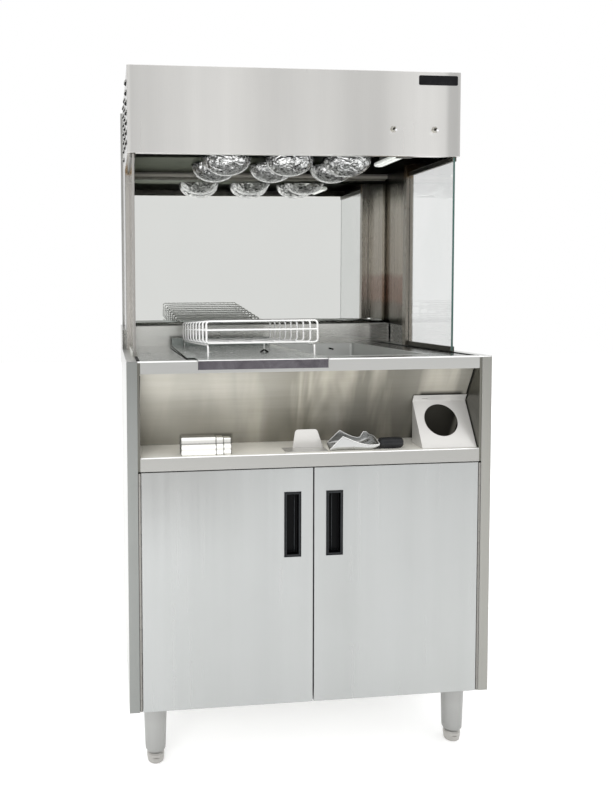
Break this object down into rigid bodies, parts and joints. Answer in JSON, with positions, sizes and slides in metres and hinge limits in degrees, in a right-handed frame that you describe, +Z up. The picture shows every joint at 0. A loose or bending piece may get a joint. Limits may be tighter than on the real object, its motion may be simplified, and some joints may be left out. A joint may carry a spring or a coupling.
{
  "type": "chip warmer",
  "caption": "free-standing heated chip station: cabinet with doors, open tool shelf, worktop with pan and bagging rack, mirror back, glass sides and a lamp hood",
  "frame": {"origin": "centre of the bounding box's footprint, on the floor", "axes": "+Z up, front (doors, switches) towards -Y, +X to the right when facing the front"},
  "size_m": [0.9, 0.762, 1.7337],
  "materials": {
    "stainless_satin": "satin brushed stainless steel sheet",
    "stainless_polished": "bright polished stainless steel",
    "stainless_dull": "dull mill finish stainless steel",
    "black_plastic": "moulded black plastic, slight gloss",
    "black_plate": "bare glossy black plate",
    "hinge_steel": "brownish steel piano hinge",
    "catch_plastic": "light grey plastic magnetic catch",
    "mirror": "silvered mirror sheet",
    "black_rubber": "black sealing strip",
    "clear_glass": "clear toughened glass, greenish edges",
    "lamp_glass": "silvered reflector lamp bulb",
    "lamp_cap_metal": "plated brass screw cap",
    "socket_ceramic": "glazed white ceramic socket",
    "tube_glass": "white fluorescent tube",
    "holder_plastic": "white plastic lamp holder",
    "switch_steel": "plated switch body and nut",
    "chrome_lever": "bright plated lever",
    "gland_plastic": "dark grey plastic cable gland",
    "screw_steel": "bright screw heads",
    "rack_wire": "bright electropolished wire",
    "foot_steel": "turned stainless adjustable foot"
  },
  "bodies": {
    "cabinet": {"side_panels": "stainless_satin", "niche_shelf": "stainless_satin", "niche_back": "stainless_satin", "niche_sides": "stainless_satin", "worktop_front": "stainless_satin", "worktop_deck": "stainless_satin", "backsplash": "stainless_satin", "posts": "stainless_satin", "upper_side_skins": "stainless_satin", "upper_back": "stainless_satin", "hood_front": "stainless_satin", "hood_top": "stainless_satin", "leg_tubes": "stainless_satin", "cabinet_back": "stainless_dull", "cabinet_floor": "stainless_dull", "interior_shelf": "stainless_dull", "lamp_rails": "stainless_dull", "junction_box": "stainless_dull", "lamp_plate": "stainless_polished", "mirror_head_rail": "stainless_polished", "glass_channels": "stainless_polished", "badge_plate": "black_plate", "hinge_leaves_fixed": "hinge_steel", "hinge_pins": "hinge_steel", "door_catches": "catch_plastic", "mirror_pane": "mirror", "mirror_gasket": "black_rubber", "side_glasses": "clear_glass", "heat_lamps": "lamp_glass", "lamp_caps": "lamp_cap_metal", "lamp_sockets": "socket_ceramic", "light_tube": "tube_glass", "light_holder": "holder_plastic", "switch_bodies": "switch_steel", "cable_gland": "gland_plastic", "panel_screws": "screw_steel"},
    "door_left": {"door_left_skin": "stainless_satin", "door_left_liner": "stainless_dull", "handle_left": "black_plastic", "hinge_left_door": "hinge_steel"},
    "door_right": {"door_right_skin": "stainless_satin", "door_right_liner": "stainless_dull", "handle_right": "black_plastic", "hinge_right_door": "hinge_steel"},
    "foot_front_left": {"foot_front_left": "foot_steel"},
    "foot_front_right": {"foot_front_right": "foot_steel"},
    "foot_rear_left": {"foot_rear_left": "foot_steel"},
    "foot_rear_right": {"foot_rear_right": "foot_steel"},
    "toggle_heat": {"toggle_heat": "chrome_lever"},
    "toggle_light": {"toggle_light": "chrome_lever"},
    "tray": {"tray": "stainless_polished"},
    "rack": {"rack_dividers": "rack_wire", "rack_frame": "rack_wire"},
    "pan": {"dump_pan": "stainless_polished"},
    "pan_grid": {"pan_grid": "stainless_polished"},
    "scoop": {"scoop_body": "stainless_polished", "scoop_handle": "black_plastic"},
    "scraper": {"scraper_plate": "stainless_polished"},
    "bag_dividers": {"bag_dividers": "stainless_polished"},
    "cup_holder": {"cup_holder": "stainless_polished"}
  },
  "joints": [
    {"name": "door_left_hinge", "type": "hinge", "parent": "cabinet", "child": "door_left", "pos_m": [-0.4215, -0.3772, 0.448], "axis": [0, 0, -1], "range_deg": [0, 110]},
    {"name": "door_right_hinge", "type": "hinge", "parent": "cabinet", "child": "door_right", "pos_m": [0.4215, -0.3772, 0.448], "axis": [0, 0, 1], "range_deg": [0, 110]},
    {"name": "foot_front_left_screw", "type": "slide", "parent": "cabinet", "child": "foot_front_left", "axis": [0, 0, -1], "range_m": [0, 0.03]},
    {"name": "foot_front_right_screw", "type": "slide", "parent": "cabinet", "child": "foot_front_right", "axis": [0, 0, -1], "range_m": [0, 0.03]},
    {"name": "foot_rear_left_screw", "type": "slide", "parent": "cabinet", "child": "foot_rear_left", "axis": [0, 0, -1], "range_m": [0, 0.03]},
    {"name": "foot_rear_right_screw", "type": "slide", "parent": "cabinet", "child": "foot_rear_right", "axis": [0, 0, -1], "range_m": [0, 0.03]},
    {"name": "toggle_heat_lever", "type": "hinge", "parent": "cabinet", "child": "toggle_heat", "pos_m": [0.255, -0.2142, 1.5835], "axis": [-1, 0, 0], "range_deg": [0, 28]},
    {"name": "toggle_light_lever", "type": "hinge", "parent": "cabinet", "child": "toggle_light", "pos_m": [0.367, -0.2142, 1.5835], "axis": [-1, 0, 0], "range_deg": [0, 28]},
    {"name": "tray_lift", "type": "slide", "parent": "cabinet", "child": "tray", "axis": [0, 0, 1], "range_m": [0, 0.15]},
    {"name": "rack_lift", "type": "slide", "parent": "tray", "child": "rack", "axis": [0, 0, 1], "range_m": [0, 0.2]},
    {"name": "pan_lift", "type": "slide", "parent": "cabinet", "child": "pan", "axis": [0, 0, 1], "range_m": [0, 0.25]},
    {"name": "grid_lift", "type": "slide", "parent": "pan", "child": "pan_grid", "axis": [0, 0, 1], "range_m": [0, 0.15]},
    {"name": "scoop_out", "type": "slide", "parent": "cabinet", "child": "scoop", "axis": [0, -1, 0], "range_m": [0, 0.2]},
    {"name": "scraper_out", "type": "slide", "parent": "cabinet", "child": "scraper", "axis": [0, -1, 0], "range_m": [0, 0.2]},
    {"name": "dividers_out", "type": "slide", "parent": "cabinet", "child": "bag_dividers", "axis": [0, -1, 0], "range_m": [0, 0.2]},
    {"name": "holder_out", "type": "slide", "parent": "cabinet", "child": "cup_holder", "axis": [0, -1, 0], "range_m": [0, 0.2]}
  ]
}
